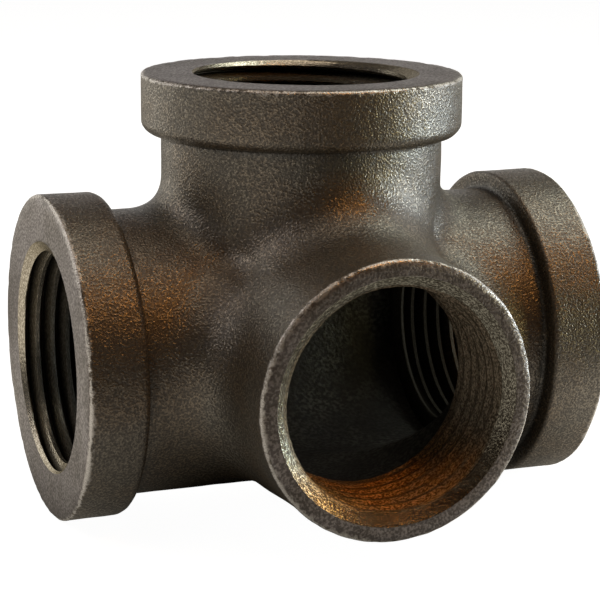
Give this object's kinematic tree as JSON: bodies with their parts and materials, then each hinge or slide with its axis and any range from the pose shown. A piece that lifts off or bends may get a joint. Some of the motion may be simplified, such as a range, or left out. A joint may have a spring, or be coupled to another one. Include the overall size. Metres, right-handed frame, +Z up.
{
  "type": "side outlet tee",
  "caption": "Threaded malleable-iron pipe fitting with a straight run, a branch and a side outlet, all meeting at right angles in one hub.",
  "frame": {"origin": "the point where the axes of the run, the branch and the side outlet cross", "axes": "+X along the run towards the right port, +Z up the branch, -Y out of the side outlet"},
  "size_m": [0.0762, 0.0593, 0.0612],
  "materials": {
    "cast_skin": "as sand-cast, dark brown-grey oxide with a fine sparkling grain",
    "cut_thread": "tapped, semi-bright metal with dark grooves"
  },
  "bodies": {
    "root": {"cast_body": "cast_skin", "left_thread": "cut_thread", "right_thread": "cut_thread", "top_thread": "cut_thread", "side_thread": "cut_thread"}
  },
  "joints": []
}
